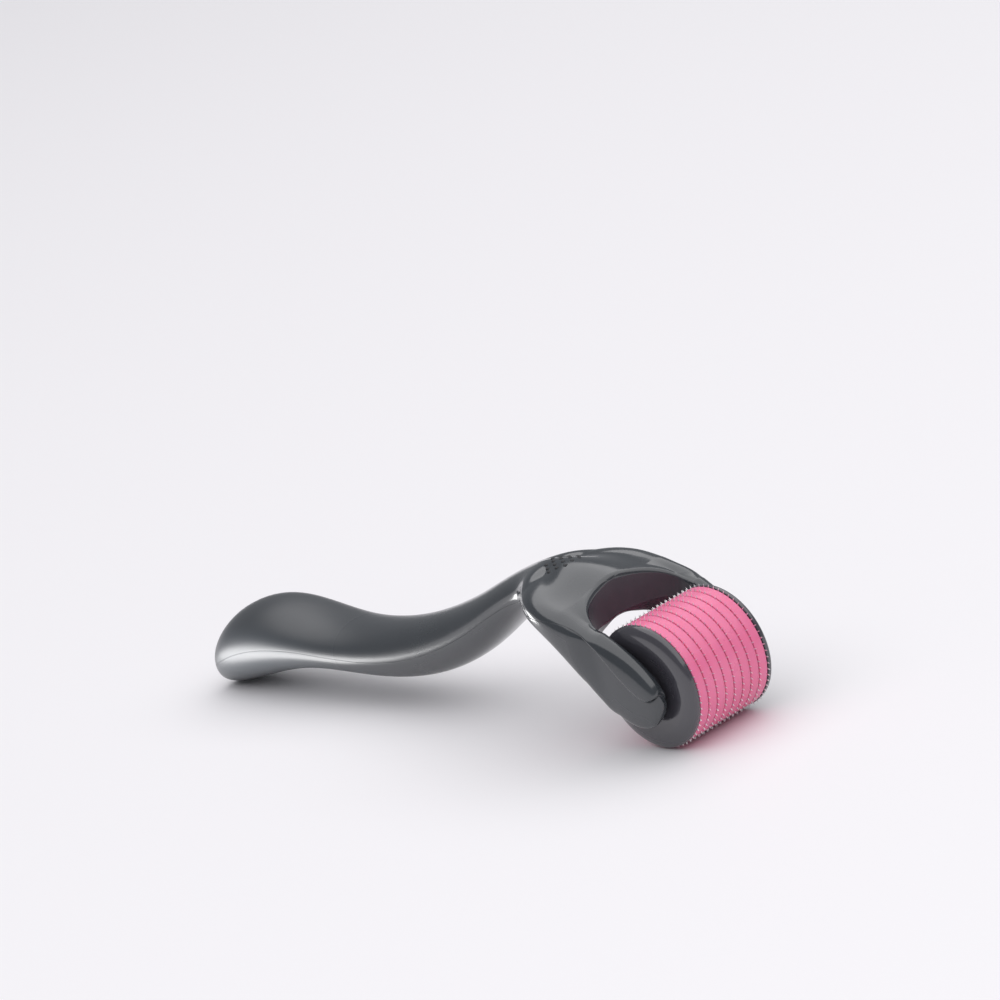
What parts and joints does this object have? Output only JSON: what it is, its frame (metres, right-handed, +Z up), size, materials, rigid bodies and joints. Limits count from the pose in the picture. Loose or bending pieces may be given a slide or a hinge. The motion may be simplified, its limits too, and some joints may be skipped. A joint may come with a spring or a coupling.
{
  "type": "derma roller",
  "caption": "Microneedle skin roller: curved two-shell handle with a forked head that carries a free-turning drum of fine needle discs and pink spacer rings.",
  "frame": {"origin": "centre of the object's box at table height, where the drum and the handle's tail rest", "axes": "+X from the tail towards the drum, +Y to the left along the axle, +Z up"},
  "size_m": [0.1414, 0.0294, 0.0305],
  "materials": {
    "handle_black": "gloss",
    "drum_black": "gloss",
    "pink_ring": "semi-gloss",
    "needle_steel": "bright",
    "pin_steel": "polished",
    "core_plastic": "matte"
  },
  "bodies": {
    "handle": {"upper_shell": "handle_black", "lower_shell": "handle_black", "axle_pin": "pin_steel"},
    "drum": {"drum_core": "core_plastic", "near_end_cap": "drum_black", "far_end_cap": "drum_black", "needle_ring_1": "pink_ring", "needle_ring_2": "pink_ring", "needle_ring_3": "pink_ring", "needle_ring_4": "pink_ring", "needle_ring_5": "pink_ring", "needle_ring_6": "pink_ring", "needle_ring_7": "pink_ring", "needle_ring_8": "pink_ring", "needle_disc_1": "needle_steel", "needle_disc_2": "needle_steel", "needle_disc_3": "needle_steel", "needle_disc_4": "needle_steel", "needle_disc_5": "needle_steel", "needle_disc_6": "needle_steel", "needle_disc_7": "needle_steel", "needle_disc_8": "needle_steel", "needle_disc_9": "needle_steel"}
  },
  "joints": [
    {"name": "drum_spin", "type": "hinge", "parent": "handle", "child": "drum", "pos_m": [0.059, 0, 0.0117], "axis": [0, 1, 0], "continuous": true}
  ]
}
